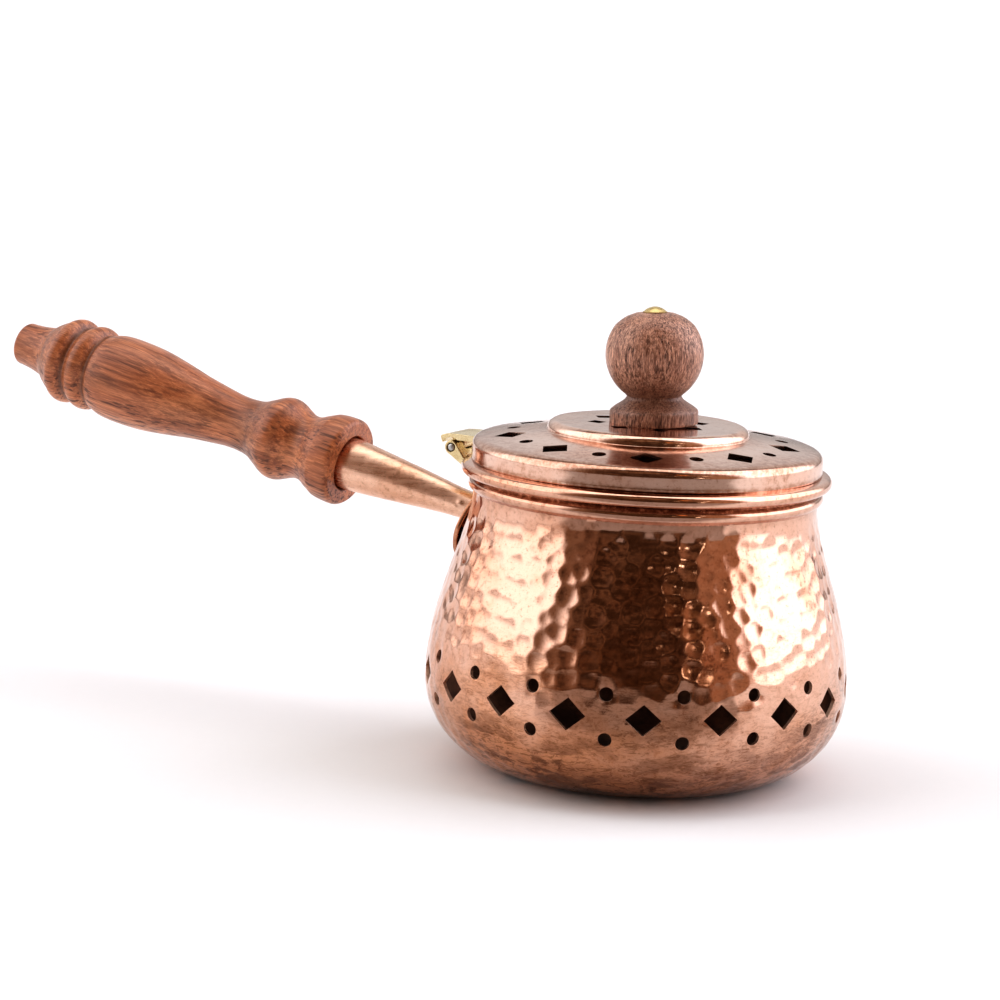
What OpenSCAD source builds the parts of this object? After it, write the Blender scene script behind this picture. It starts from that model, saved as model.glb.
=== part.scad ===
// Pierced copper burner shaped like a long-handled coffee pot: a hammered,
// pierced pot, a hinged pierced lid with a turned wooden knob, and a turned
// wooden handle on a copper ferrule.
// Frame: origin at the centre of the base, +Z up, handle and hinge towards -X.

/* [Pot] */
// Greatest outer radius of the belly
belly_r = 56; // [54.5:0.5:60]
// Height of the belly's widest ring
belly_z = 23.2; // [20:0.1:26]
// Radius of the flat that the pot stands on
base_r = 33; // [20:1:36]
// Outer radius of the neck
neck_r = 45.3; // [44.5:0.1:46]
// Height of the mouth's top edge
mouth_z = 80; // [78:0.5:82]
// Thickness of the raised sheet
wall = 1.1; // [0.8:0.1:1.2]

/* [Piercing of the pot] */
// Number of diamonds in the pierced band
band_count = 18; // [10:1:20]
// Height of the diamonds' centres
band_z = 25.1; // [23:0.1:26]
// Angle of the first diamond about +Z
band_start = 17.5; // [0:0.5:36]
// Width of a diamond
diamond_w = 9.4; // [6:0.1:10]
// Height of a diamond
diamond_h = 8.2; // [6:0.1:9]
// Diameter of the round holes
dot_d = 3.5; // [2:0.1:4]
// Height of the round holes above and below the diamonds' centres
dot_rise = 5.6; // [5:0.1:7]

/* [Lid] */
// Outer radius of the lid's skirt
lid_r = 46; // [45.5:0.1:46.5]
// Height of the lid's outer top edge
lid_edge_z = 86.2; // [85:0.1:87]
// Radius of the raised boss
boss_r = 26.5; // [25:0.1:29]
// Height of the boss's top
boss_z = 91.3; // [90.9:0.1:93]
// Thickness of the lid's sheet
lid_wall = 1; // [0.8:0.1:1.1]
// Outer radius of the plug that drops into the mouth
plug_r = 43.35; // [43:0.05:43.4]
// Height of the plug's lower edge
plug_z = 74.1; // [73:0.1:76]
// Number of holes in the ring, diamonds and round ones in turn
ring_count = 18; // [8:2:18]
// Radius of the ring of holes
ring_r = 36; // [35:0.1:37.5]
// Side of the ring's diamonds
punch = 6.1; // [4:0.1:6.2]
// Number of small diamonds round the knob
eye_count = 8; // [4:1:9]
// Side of a small diamond
eye_side = 3.8; // [2.5:0.1:4]
// Radius of the circle of small diamonds
eye_r = 13.8; // [13.4:0.1:17]

/* [Knob] */
// Radius of the wooden ball
ball_r = 12.8; // [11:0.1:14]
// Radius of the knob's foot
foot_r = 11.6; // [10:0.1:12]
// Radius of the knob's neck
knob_neck_r = 7.1; // [6:0.1:8.5]

/* [Handle] */
// Height at which the handle's axis crosses the pot's axis
handle_z = 51.7; // [50:0.1:53]
// Slope of the handle above the horizontal, in degrees
handle_tilt = 11.74; // [10:0.01:13]
// Distance along the axis to the wood's front face
grip_start = 92; // [90:0.5:96]
// Length of the turned grip
grip_l = 114.6; // [110:0.1:125]
// Radius of the ferrule at the wood
ferrule_r = 7.3; // [6.5:0.1:7.4]
// Radius of the ferrule at the pot
ferrule_tip_r = 3.7; // [3.4:0.1:4.5]
// Radius of the steel tang
tang_r = 2.4; // [2:0.1:2.6]

/* [Hinge] */
// Distance of the pin from the pot's axis
hinge_r = 55; // [54.5:0.1:56]
// Height of the pin
hinge_z = 79.5; // [79:0.1:80]
// Width of the hinge
hinge_w = 13; // [11:0.5:15]
// Radius of the pin
pin_r = 1; // [0.9:0.05:1.1]
// Outer radius of the knuckles
knuckle_r = 1.9; // [1.8:0.05:2]
// Width of the lid leaf's knuckle
lid_knuckle_w = 4.8; // [4:0.1:5.5]
// Running clearance of the pin in the lid's knuckle, on the radius
pin_play = 0.05; // [0.02:0.01:0.09]

/* [Hidden] */
$fn = 96;

copper = [0.85, 0.53, 0.40];
copper_dark = [0.74, 0.44, 0.32];
brass = [0.83, 0.70, 0.42];
steel = [0.72, 0.72, 0.73];
wood_grip = [0.50, 0.27, 0.18];
wood_knob = [0.52, 0.34, 0.26];

// The pot's outline
neck_z = 72;
bead_r = 1.9;
bead_z = 74.1;
lip_r = 48.75;
lip_round = 1.8;
lip_z = mouth_z - lip_round;
crease = [45.5, 75.95];
mouth_in_r = neck_r - wall;
belly_power = 2;

// The lid's outline
lid_seat_z = mouth_z + 0.1;
edge_round = 2.4;
boss_round = 2.3;
ring_top_z = lid_edge_z + 2.5;
ring_start = 94.8;
eye_start = 38;
bolt_hole_r = 2.1;

// The knob's outline
rim_h = 3.5;
ball_z = boss_z + 18.05;
ball_shoulder = [[0.742, 0.652], [0.57, 0.773], [0.406, 0.836], [0.266, 0.856]];
knob_top_z = ball_z + 0.858 * ball_r;

// The bolt, washer and nut
bolt_r = 2;
bolt_head_r = 3.2;
bolt_head_h = 1.5;
washer_r = 5;
washer_t = 1;
nut_af = 7;
nut_h = 3.2;
under_lid_z = boss_z - lid_wall;

// The handle's plate, in its own frame on the wall
plate_r = 48.2;
plate_z = 58.5;
plate_tilt = 16.5;
plate_t = 1.35;
plate_high = 10.6;
plate_wide = 12.6;
rivet_r = 1.1;
rivet_head_r = 1.7;
rivet_spots = [[1, 8.6], [1, -8.6], [-6.6, 0]];

// The ferrule, along the handle's axis
ferrule_wall = 0.8;
socket_depth = 3;
socket_r = ferrule_r + 0.5;
tang_end = 150;
tang_start = 52;
ferrule_end = grip_start + socket_depth;
ferrule_solid_end = 60;

// The hinge
knuckle_gap = 0.15;
relief_r = 2.75;
leaf_top_z = 83.2;
leaf_under_z = 81.6;
leaf_rivet_y = 4.1;
pot_leaf_rivet_z = 70.95;
lid_leaf_rivet_z = 82.4;
small_rivet_r = 0.6;
small_head_r = 1.1;
foot_flat_r = 47.4;
foot_low_z = 69.4;
rivet_depth = 2.8;

// Smooth curve through the points p, with n steps between neighbours
function blend(a, b, c, d, t) = 0.5 * (2 * b + (c - a) * t
    + (2 * a - 5 * b + 4 * c - d) * t * t + (3 * b - a - 3 * c + d) * t * t * t);
function curve(p, n) = [
    for (i = [0 : len(p) - 2], k = [0 : n - 1])
        blend(p[max(i - 1, 0)], p[i], p[i + 1], p[min(i + 2, len(p) - 1)], k / n),
    p[len(p) - 1]
];
// Arc about c of radius r from angle a to angle b in n steps
function arc(c, r, a, b, n) = [
    for (k = [0 : n]) c + r * [cos(a + (b - a) * k / n), sin(a + (b - a) * k / n)]
];
// Cubic between a and d with both ends vertical, pulled by up and down
function sweep(a, d, up, down, n) = [
    for (k = [0 : n]) let (t = k / n, s = 1 - t)
        s * s * s * a + 3 * s * s * t * (a + [0, up])
        + 3 * s * t * t * (d - [0, down]) + t * t * t * d
];

// The pot's lower bowl, a flattened quarter of a superellipse that is t thinner
function bowl(t, n) = [
    for (k = [1 : n]) let (a = 90 * k / n, w = base_r, e = 2 / belly_power)
        [w + (belly_r - t - w) * pow(sin(a), e), belly_z - (belly_z - t) * pow(cos(a), e)]
];
function side(t) = sweep([belly_r - t, belly_z], [neck_r - t, neck_z], 19, 10.4, 10);
lower_and_side = concat([[0, 0], [base_r, 0]], bowl(0, 9), side(0));
pot_out = concat(
    lower_and_side,
    arc([neck_r - 0.5, bead_z], bead_r, -60, 62, 7),
    [crease],
    arc([lip_r - lip_round, lip_z], lip_round, -48, 90, 7)
);
side_in = side(wall);
bowl_in = bowl(wall, 9);
pot_in = concat(
    [[mouth_in_r + 0.5, mouth_z], [mouth_in_r, mouth_z - 0.8]],
    [for (k = [len(side_in) - 1 : -1 : 0]) side_in[k]],
    [for (k = [len(bowl_in) - 2 : -1 : 0]) bowl_in[k]],
    [[base_r, wall], [0, wall]]
);

module pot_outside() {
    rotate_extrude() polygon(concat(pot_out, [[0, mouth_z]]));
}

// Local frame of the handle's plate: +Z out of the wall, +X up along it
module on_wall() {
    translate([-plate_r, 0, plate_z]) rotate([0, plate_tilt - 90, 0]) children();
}

// Local frame of the handle: +Z along its axis, away from the pot
module along_handle() {
    translate([0, 0, handle_z]) rotate([0, handle_tilt - 90, 0]) children();
}

// A bar along -X from radius a to radius b at side y and height z
module radial_bar(a, b, y, z, r) {
    translate([-a, y, z]) rotate([0, -90, 0]) cylinder(r = r, h = b - a);
}

// Outline drawn as distance from the pot's axis and height, w wide about y
module hinge_slab(w, y = 0) {
    translate([0, y + w / 2, 0]) rotate([90, 0, 0]) mirror([1, 0, 0])
        linear_extrude(height = w) children();
}

// Domed rivet head of radius r and height h on z = 0
module dome(r, h) {
    ball = (r * r + h * h) / (2 * h);
    turn = asin(r / ball);
    rotate_extrude() polygon(concat([[0, 0]],
        [for (k = [0 : 5]) [ball * sin(turn * (1 - k / 5)), ball * cos(turn * (1 - k / 5)) - ball + h]]));
}

module pot_body() {
    color(copper) difference() {
        rotate_extrude() polygon(concat(pot_out, pot_in));
        for (k = [0 : band_count - 1]) rotate([0, 0, band_start + 360 * k / band_count]) {
            translate([belly_r - 6, 0, band_z]) rotate([90, 0, 90]) linear_extrude(height = 10)
                polygon([[diamond_w / 2, 0], [0, diamond_h / 2], [-diamond_w / 2, 0], [0, -diamond_h / 2]]);
            rotate([0, 0, 180 / band_count]) for (s = [-1, 1])
                translate([belly_r - 8, 0, band_z + s * dot_rise]) rotate([0, 90, 0])
                    cylinder(d = dot_d, h = 12);
        }
        on_wall() for (p = rivet_spots) translate([p[0], p[1], -6]) cylinder(r = rivet_r, h = 10);
        for (s = [-1, 1]) radial_bar(42, 48, s * leaf_rivet_y, pot_leaf_rivet_z, small_rivet_r);
    }
}

module handle_plate() {
    color(copper_dark) difference() {
        on_wall() difference() {
            scale([plate_high, plate_wide, 1]) cylinder(r = 1, h = plate_t);
            for (p = rivet_spots) translate([p[0], p[1], -1]) cylinder(r = rivet_r, h = 4);
        }
        pot_outside();
    }
}

module plate_rivets() {
    color(copper_dark) on_wall() for (p = rivet_spots) translate([p[0], p[1], 0]) {
        translate([0, 0, plate_t]) dome(rivet_head_r, 1);
        translate([0, 0, -2.4]) cylinder(r = rivet_r, h = plate_t + 2.4);
    }
}

ferrule_side = [
    [ferrule_tip_r, 46], [ferrule_tip_r + 0.5, 58], [ferrule_r - 0.2, grip_start - 4],
    [ferrule_r, ferrule_end]
];
module handle_ferrule() {
    color(copper) difference() {
        along_handle() rotate_extrude() polygon(concat(
            ferrule_side,
            [[ferrule_r - ferrule_wall, ferrule_end], [ferrule_r - 0.2 - ferrule_wall, grip_start - 4],
             [tang_r + 1, ferrule_solid_end + 1], [tang_r, ferrule_solid_end],
             [tang_r, tang_start], [0, tang_start], [0, 46]]
        ));
        on_wall() translate([-20, -20, plate_t - 20]) cube([40, 40, 20]);
    }
}

module handle_tang() {
    color(steel) along_handle() translate([0, 0, tang_start])
        cylinder(r = tang_r, h = tang_end - tang_start);
}

// The grip's turned outline as distance along the wood and radius
function turned(p, n) = [for (q = curve(p, n)) [q[1], grip_start + q[0]]];
collar = [[0, 11.5], [0.9, 12.2], [2.2, 12.4], [5, 12.3], [7, 12]];
cove = [[7, 12], [9.6, 10.8], [12, 9.6], [14, 9.2], [16, 9.45], [18.5, 10.5], [20.3, 11.35]];
ring_bead = [[20.3, 11.35], [22, 11.8], [23.8, 11.65], [25.4, 11]];
waist = [[25.4, 11], [28, 9.6], [31, 8.2], [35, 7.6], [39.5, 7.65], [45, 8.3]];
swell = [[45, 8.3], [52, 9.3], [60, 10.8], [68, 12], [76, 12.4], [81, 12.2], [84.3, 11.4]];
first_bead = arc([8.9, grip_start + 89.3], 3.5, -60, 60, 8);
second_bead = arc([9.6, grip_start + 96.5], 2.9, -62, 52, 8);
tail = [[100.6, 10.4], [102.4, 9.2], [104, 7.9], [106, 7.2], [109, 6.6], [112, 6.25], [grip_l - 0.8, 6.15]];

module handle_grip() {
    color(wood_grip) along_handle() rotate_extrude() polygon(concat(
        turned(collar, 3), turned(cove, 3), turned(ring_bead, 3), turned(waist, 3),
        turned(swell, 4), [[10.6, grip_start + 85.6]], first_bead, [[10.5, grip_start + 93.2]],
        second_bead, turned(tail, 3),
        [[5.7, grip_start + grip_l - 0.2], [5.1, grip_start + grip_l], [0, grip_start + grip_l],
         [0, tang_end], [tang_r, tang_end], [tang_r, ferrule_end], [socket_r, ferrule_end],
         [socket_r, grip_start]]
    ));
}

// The pin's place in the hinge's outline
pin_at = [hinge_r, hinge_z];

// The pot's leaf: a foot on the neck and a strap that rises to the knuckles
module pot_strap_outline() {
    polygon([
        pin_at + (knuckle_r - 0.05) * [cos(-50), sin(-50)], [foot_flat_r, 72.4],
        [foot_flat_r, foot_low_z], [neck_r - 1, foot_low_z], [neck_r - 1, 74.9],
        [foot_flat_r - 0.4, 74.9], [foot_flat_r, 74.4], [50.4, 76.3],
        pin_at + (knuckle_r - 0.05) * [cos(150), sin(150)]
    ]);
}

module pot_hinge_leaf() {
    color(brass) difference() {
        union() {
            hinge_slab(hinge_w) translate(pin_at) circle(r = knuckle_r);
            hinge_slab(hinge_w) pot_strap_outline();
        }
        hinge_slab(hinge_w + 2) translate(pin_at) circle(r = pin_r);
        hinge_slab(lid_knuckle_w + 2 * knuckle_gap) translate(pin_at) circle(r = knuckle_r + 0.25);
        for (s = [-1, 1]) radial_bar(42, 50, s * leaf_rivet_y, pot_leaf_rivet_z, small_rivet_r);
        pot_outside();
    }
}

module pot_leaf_rivets() {
    color(brass) for (s = [-1, 1]) {
        radial_bar(mouth_in_r - 0.8, foot_flat_r, s * leaf_rivet_y, pot_leaf_rivet_z, small_rivet_r);
        translate([-foot_flat_r, s * leaf_rivet_y, pot_leaf_rivet_z]) rotate([0, -90, 0])
            dome(small_head_r, 0.8);
    }
}

module hinge_pin() {
    color(steel) translate([-hinge_r, hinge_w / 2 + 0.2, hinge_z]) rotate([90, 0, 0])
        cylinder(r = pin_r, h = hinge_w + 0.4);
}

// The lid's sheet: crown, boss, pierced cone, skirt, seat and plug
lid_out = concat(
    [[bolt_hole_r, boss_z]],
    arc([boss_r - boss_round, boss_z - boss_round], boss_round, 90, 0, 6),
    [[boss_r + 0.2, ring_top_z + 0.1], [boss_r + 0.7, ring_top_z]],
    arc([lid_r - edge_round, lid_edge_z - edge_round], edge_round, 81, 0, 7),
    [[lid_r, lid_seat_z], [plug_r, lid_seat_z], [plug_r, plug_z]]
);
lid_in = concat(
    [[plug_r - lid_wall, plug_z], [plug_r - lid_wall, lid_seat_z + lid_wall],
     [lid_r - lid_wall, lid_seat_z + lid_wall]],
    arc([lid_r - edge_round, lid_edge_z - edge_round], edge_round - lid_wall, 0, 81, 4),
    [[boss_r + 0.6, ring_top_z - lid_wall], [boss_r - 0.4, ring_top_z - lid_wall + 0.15],
     [boss_r - lid_wall + 0.1, ring_top_z - 0.4]],
    arc([boss_r - boss_round, boss_z - boss_round], boss_round - lid_wall, 0, 90, 4),
    [[bolt_hole_r, under_lid_z]]
);

module diamond_hole(side) {
    rotate([0, 0, 45]) translate([-side / 2, -side / 2, 0]) cube([side, side, 20]);
}

module lid_body() {
    color(copper) difference() {
        rotate_extrude() polygon(concat(lid_out, lid_in));
        for (k = [0 : ring_count - 1])
            rotate([0, 0, ring_start + 360 * k / ring_count]) translate([ring_r, 0, 80]) {
                if (k % 2 == 0) diamond_hole(punch);
                if (k % 2 == 1) cylinder(d = dot_d, h = 20);
            }
        for (k = [0 : eye_count - 1])
            rotate([0, 0, eye_start + 360 * k / eye_count]) translate([eye_r, 0, 80])
                diamond_hole(eye_side);
        for (s = [-1, 1]) radial_bar(42, 48, s * leaf_rivet_y, lid_leaf_rivet_z, small_rivet_r);
    }
}

ball_low = -asin((ball_z - boss_z - rim_h - 4.4) / ball_r);
knob_flare = [
    [foot_r, boss_z + rim_h - 0.2], [foot_r - 0.4, boss_z + rim_h + 0.3],
    [foot_r - 1.3, boss_z + rim_h + 1], [foot_r - 2.7, boss_z + rim_h + 1.9],
    [knob_neck_r + 0.6, boss_z + rim_h + 2.8], [knob_neck_r, boss_z + rim_h + 3.7]
];
module lid_knob() {
    color(wood_knob) rotate_extrude() polygon(concat(
        [[bolt_r, boss_z], [foot_r - 0.3, boss_z], [foot_r, boss_z + 0.3]],
        curve(knob_flare, 3),
        arc([0, ball_z], ball_r, ball_low, 34, 16),
        [for (p = ball_shoulder) [0, ball_z] + ball_r * p],
        [[bolt_r, knob_top_z]]
    ));
}

module knob_bolt() {
    color(brass) {
        translate([0, 0, knob_top_z]) dome(bolt_head_r, bolt_head_h);
        translate([0, 0, under_lid_z - washer_t - nut_h - 0.8])
            cylinder(r = bolt_r, h = knob_top_z - under_lid_z + washer_t + nut_h + 0.8);
    }
}

module knob_washer() {
    color(steel) translate([0, 0, under_lid_z - washer_t]) difference() {
        cylinder(r = washer_r, h = washer_t);
        translate([0, 0, -1]) cylinder(r = bolt_hole_r, h = washer_t + 2);
    }
}

module knob_nut() {
    color(steel) translate([0, 0, under_lid_z - washer_t - nut_h]) difference() {
        cylinder(r = nut_af / 2 / cos(30), h = nut_h, $fn = 6);
        translate([0, 0, -1]) cylinder(r = bolt_r, h = nut_h + 2);
    }
}

// The lid's leaf: flange on the skirt, plate over the pin and a hooked end
module lid_leaf_outline(relief) {
    difference() {
        polygon([
            [lid_r - 0.6, leaf_under_z], [hinge_r, leaf_under_z], [hinge_r + 2.1, 80.6],
            [hinge_r + 2.7, 80.7], [hinge_r + 3.3, 82], [hinge_r + 3.1, 82.6],
            [hinge_r + 1.6, 83.1], [hinge_r - 1, leaf_top_z + 0.1], [lid_r - 0.6, leaf_top_z]
        ]);
        translate(pin_at) circle(r = relief);
    }
}

module lid_hinge_leaf() {
    color(brass) difference() {
        union() {
            hinge_slab(hinge_w) lid_leaf_outline(relief_r);
            hinge_slab(lid_knuckle_w) {
                translate(pin_at) circle(r = knuckle_r);
                translate(pin_at + [-knuckle_r, 0]) square([2 * knuckle_r, relief_r + 0.3]);
            }
        }
        hinge_slab(hinge_w + 2) translate(pin_at) circle(r = pin_r + pin_play);
        translate([0, 0, 70]) cylinder(r = lid_r, h = 20);
        for (s = [-1, 1])
            radial_bar(42, lid_r + rivet_depth, s * leaf_rivet_y, lid_leaf_rivet_z, small_rivet_r);
    }
}

// Set from inside the skirt into blind holes of the lid's leaf
module lid_leaf_rivets() {
    head_at = sqrt(pow(lid_r - lid_wall, 2) - pow(leaf_rivet_y + small_head_r, 2));
    color(brass) for (s = [-1, 1]) {
        radial_bar(head_at, lid_r + rivet_depth, s * leaf_rivet_y, lid_leaf_rivet_z, small_rivet_r);
        translate([-head_at, s * leaf_rivet_y, lid_leaf_rivet_z]) rotate([0, 90, 0])
            dome(small_head_r, 0.8);
    }
}

pot_body();
handle_plate();
plate_rivets();
handle_ferrule();
handle_tang();
handle_grip();
pot_hinge_leaf();
pot_leaf_rivets();
hinge_pin();
lid_body();
lid_knob();
knob_bolt();
knob_washer();
knob_nut();
lid_hinge_leaf();
lid_leaf_rivets();
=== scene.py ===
"""Looks of a pierced, hammered copper burner with a hinged lid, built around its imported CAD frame."""

import math

import bpy
import numpy as np
from mathutils import Matrix, Vector


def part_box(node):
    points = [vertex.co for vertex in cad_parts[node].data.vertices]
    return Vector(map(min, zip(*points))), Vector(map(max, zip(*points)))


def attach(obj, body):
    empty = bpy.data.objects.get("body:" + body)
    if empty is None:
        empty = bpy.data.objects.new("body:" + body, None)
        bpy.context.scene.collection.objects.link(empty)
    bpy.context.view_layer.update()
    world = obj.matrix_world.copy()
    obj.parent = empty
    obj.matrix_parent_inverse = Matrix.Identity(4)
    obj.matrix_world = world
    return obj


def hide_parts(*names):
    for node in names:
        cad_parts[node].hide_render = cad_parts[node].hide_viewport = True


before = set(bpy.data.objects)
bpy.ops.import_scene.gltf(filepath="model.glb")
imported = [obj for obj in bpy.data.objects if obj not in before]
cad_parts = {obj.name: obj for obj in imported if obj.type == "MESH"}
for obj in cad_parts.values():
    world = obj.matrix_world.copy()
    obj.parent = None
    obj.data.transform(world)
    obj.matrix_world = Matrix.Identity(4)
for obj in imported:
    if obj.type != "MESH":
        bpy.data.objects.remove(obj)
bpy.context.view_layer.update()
rng = np.random.default_rng(11)

MM = 0.001
BEVEL_ANGLE = math.radians(35)

# ---------------------------------------------------------------- driving sizes, in millimetres
pot_high, lid_high, knob_high = (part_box(node)[1] / MM for node in ("pot_body", "lid_body", "lid_knob"))
BELLY_R, MOUTH_Z = pot_high.x, pot_high.z
LID_R, BOSS_Z, KNOB_TOP = lid_high.x, lid_high.z, knob_high.z
BELLY_Z, BASE_R, NECK_R, NECK_Z, WALL = 23.2, 33.0, 45.3, 72.0, 1.1
BEAD_Z, BEAD_R, LIP_R, LIP_ROUND = 74.1, 1.9, 48.75, 1.8
BAND_COUNT, BAND_Z, BAND_START = 18, 25.1, 17.5
DIAMOND = (9.4, 8.2)
DOT_R, DOT_RISE = 1.75, 5.6
PLUG_R, PLUG_Z, LID_WALL, LID_EDGE_Z, EDGE_ROUND = 43.35, 74.1, 1.0, 86.2, 2.4
BOSS_R, BOSS_ROUND, RING_TOP = 26.5, 2.3, 88.7
RING_COUNT, RING_R, RING_START, PUNCH = 18, 36.0, 94.8, 6.1
EYE_COUNT, EYE_R, EYE_START, EYE_SIDE = 8, 13.8, 38.0, 3.8
BALL_R, BALL_Z, FOOT_R, KNOB_NECK_R, RIM_H = 12.8, 109.35, 11.6, 7.1, 3.5
BALL_SHOULDER = ((0.8, 0.6), (0.742, 0.652), (0.66, 0.718), (0.57, 0.773), (0.406, 0.836), (0.266, 0.856))
BOLT_R, BOLT_HEAD_R, BOLT_HEAD_H = 2.0, 3.2, 1.5
HANDLE_Z, HANDLE_TILT, GRIP_START, GRIP_L = 51.7, 11.74, 92.0, 114.6
FERRULE_R, FERRULE_TIP_R, FERRULE_END, FERRULE_BEND = 7.3, 3.7, 95.0, 0.5
PLATE_R, PLATE_Z, PLATE_TILT, PLATE_T, PLATE_HIGH, PLATE_WIDE = 48.2, 58.5, 16.5, 1.35, 10.6, 12.6
PLATE_RIVETS = ((1.0, 8.6), (1.0, -8.6), (-6.6, 0.0))
HINGE_R, HINGE_Z, HINGE_W, PIN_R, KNUCKLE_R, LID_KNUCKLE_W = 55.0, 79.5, 13.0, 1.0, 1.9, 4.8


# ---------------------------------------------------------------- outlines
def arc(centre, radius, start, end, steps):
    """Points of a circle from start to end, in degrees."""
    a = np.radians(np.linspace(start, end, steps + 1))
    return np.column_stack([centre[0] + radius * np.cos(a), centre[1] + radius * np.sin(a)])


def spline(points, steps):
    """Smooth curve through all points."""
    p = np.array(points, float)
    p = np.vstack([2 * p[0] - p[1], p, 2 * p[-1] - p[-2]])
    out = []
    for a, b, c, d in zip(p[:-3], p[1:-2], p[2:-1], p[3:]):
        for t in np.linspace(0, 1, steps, endpoint=False):
            out.append(0.5 * (2 * b + (c - a) * t + (2 * a - 5 * b + 4 * c - d) * t ** 2
                              + (3 * b - a - 3 * c + d) * t ** 3))
    return np.array(out + [p[-2]])


def pulled(a, b, up, down, steps):
    """Cubic from a to b that leaves and arrives vertically."""
    t = np.linspace(0, 1, steps + 1)[:, None]
    a, b = np.array(a, float), np.array(b, float)
    return ((1 - t) ** 3 * a + 3 * (1 - t) ** 2 * t * (a + [0, up])
            + 3 * (1 - t) * t ** 2 * (b - [0, down]) + t ** 3 * b)


def spaced(points, step):
    """The same line with points about step apart."""
    p = np.array(points, float)
    run = np.concatenate([[0], np.cumsum(np.hypot(*np.diff(p, axis=0).T))])
    t = np.linspace(0, run[-1], max(2, round(run[-1] / step) + 1))
    return np.column_stack([np.interp(t, run, p[:, 0]), np.interp(t, run, p[:, 1])])


def bowl(thinner, steps):
    """Wall from the base up to the belly, moved inwards by thinner."""
    a = np.radians(np.linspace(0, 90, steps + 1))[1:]
    return np.column_stack([BASE_R + (BELLY_R - thinner - BASE_R) * np.sin(a),
                            BELLY_Z - (BELLY_Z - thinner) * np.cos(a)])


def side(thinner, steps):
    """Wall from the belly up to the neck, moved inwards by thinner."""
    return pulled((BELLY_R - thinner, BELLY_Z), (NECK_R - thinner, NECK_Z), 19, 10.4, steps)


# ---------------------------------------------------------------- meshes
def new_object(name, verts, faces):
    mesh = bpy.data.meshes.new(name)
    mesh.from_pydata([tuple(v) for v in verts], [], faces)
    mesh.update()
    obj = bpy.data.objects.new(name, mesh)
    bpy.context.scene.collection.objects.link(obj)
    return obj


def lathe(name, outline, segments, shape=None, closed=False):
    """Turns an outline of (radius, height) in mm about +Z. Ends at radius 0 become poles.
    shape(points, angles, outline) may move the grid of points, in mm, before the mesh is made."""
    line = np.array(outline, float)
    turn = np.linspace(0, 2 * math.pi, segments, endpoint=False)
    grid = np.stack([line[:, 0, None] * np.cos(turn), line[:, 0, None] * np.sin(turn),
                     np.repeat(line[:, 1, None], segments, 1)], axis=2)
    if shape is not None:
        grid = shape(grid, turn, line)
    first = 1 if line[0, 0] < 1e-6 and not closed else 0
    last = len(line) - (1 if line[-1, 0] < 1e-6 and not closed else 0)
    verts = grid[first:last].reshape(-1, 3)
    rows = last - first
    i, j = np.meshgrid(np.arange(rows if closed else rows - 1), np.arange(segments), indexing="ij")
    a = i * segments + j
    b = i * segments + (j + 1) % segments
    c = (i + 1) % rows * segments + (j + 1) % segments
    d = (i + 1) % rows * segments + j
    faces = np.stack([a, b, c, d], axis=2).reshape(-1, 4).tolist()
    if first:
        verts = np.vstack([verts, grid[0, 0]])
        pole = len(verts) - 1
        faces += [[pole, (k + 1) % segments, k] for k in range(segments)]
    if last < len(line):
        verts = np.vstack([verts, grid[-1, 0]])
        pole, base = len(verts) - 1, (rows - 1) * segments
        faces += [[pole, base + k, base + (k + 1) % segments] for k in range(segments)]
    return new_object(name, verts * MM, faces)


def prism(name, outline, low, high, place):
    """A straight prism over an outline of (x, y), from low to high along local z, set by place."""
    n = len(outline)
    verts = [place @ Vector((x * MM, y * MM, z * MM)) for z in (low, high) for x, y in outline]
    faces = [list(range(n))[::-1], list(range(n, 2 * n))]
    faces += [[k, (k + 1) % n, n + (k + 1) % n, n + k] for k in range(n)]
    return new_object(name, verts, faces)


def join(name, objects):
    """One object from several, each already in place."""
    verts, faces = [], []
    for o in objects:
        start = len(verts)
        verts += [o.matrix_world @ v.co for v in o.data.vertices]
        faces += [[start + k for k in p.vertices] for p in o.data.polygons]
        bpy.data.objects.remove(o)
    return new_object(name, verts, faces)


def settle(obj):
    """Makes the result of the object's modifiers its own mesh."""
    bpy.context.view_layer.update()
    depsgraph = bpy.context.evaluated_depsgraph_get()
    mesh = bpy.data.meshes.new_from_object(obj.evaluated_get(depsgraph))
    obj.modifiers.clear()
    obj.data = mesh
    return obj


def boolean(obj, other, operation="DIFFERENCE"):
    """Cuts other out of obj, or adds it, and removes other."""
    m = obj.modifiers.new("cut", "BOOLEAN")
    m.operation, m.object, m.solver = operation, other, "MANIFOLD"
    settle(obj)
    bpy.data.objects.remove(other)
    return obj


def soften(obj, voxel, smoothing):
    """Rounds every edge of a small casting: fine voxels, then smoothing."""
    cast = obj.modifiers.new("cast", "REMESH")
    cast.mode, cast.voxel_size = "VOXEL", voxel * MM
    rounding = obj.modifiers.new("round", "SMOOTH")
    rounding.factor, rounding.iterations = 0.5, smoothing
    return settle(obj)


def bevel(obj, width, segments):
    m = obj.modifiers.new("edges", "BEVEL")
    m.width, m.segments, m.limit_method, m.angle_limit = width * MM, segments, "ANGLE", BEVEL_ANGLE
    return settle(obj)


def smooth(obj, angle):
    """Smooth shading that stays sharp at edges of more than angle degrees."""
    for p in obj.data.polygons:
        p.use_smooth = True
    obj.data.set_sharp_from_angle(angle=math.radians(angle))
    return obj


def place_object(obj, matrix):
    """Moves the mesh itself, so that the object stays at the frame's origin."""
    obj.data.transform(matrix)
    return obj


def along(direction, origin):
    """Matrix that takes local +Z to direction and the origin to a point in mm."""
    turn = Vector((0, 0, 1)).rotation_difference(Vector(direction)).to_matrix().to_4x4()
    return Matrix.Translation(Vector(origin) * MM) @ turn


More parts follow.
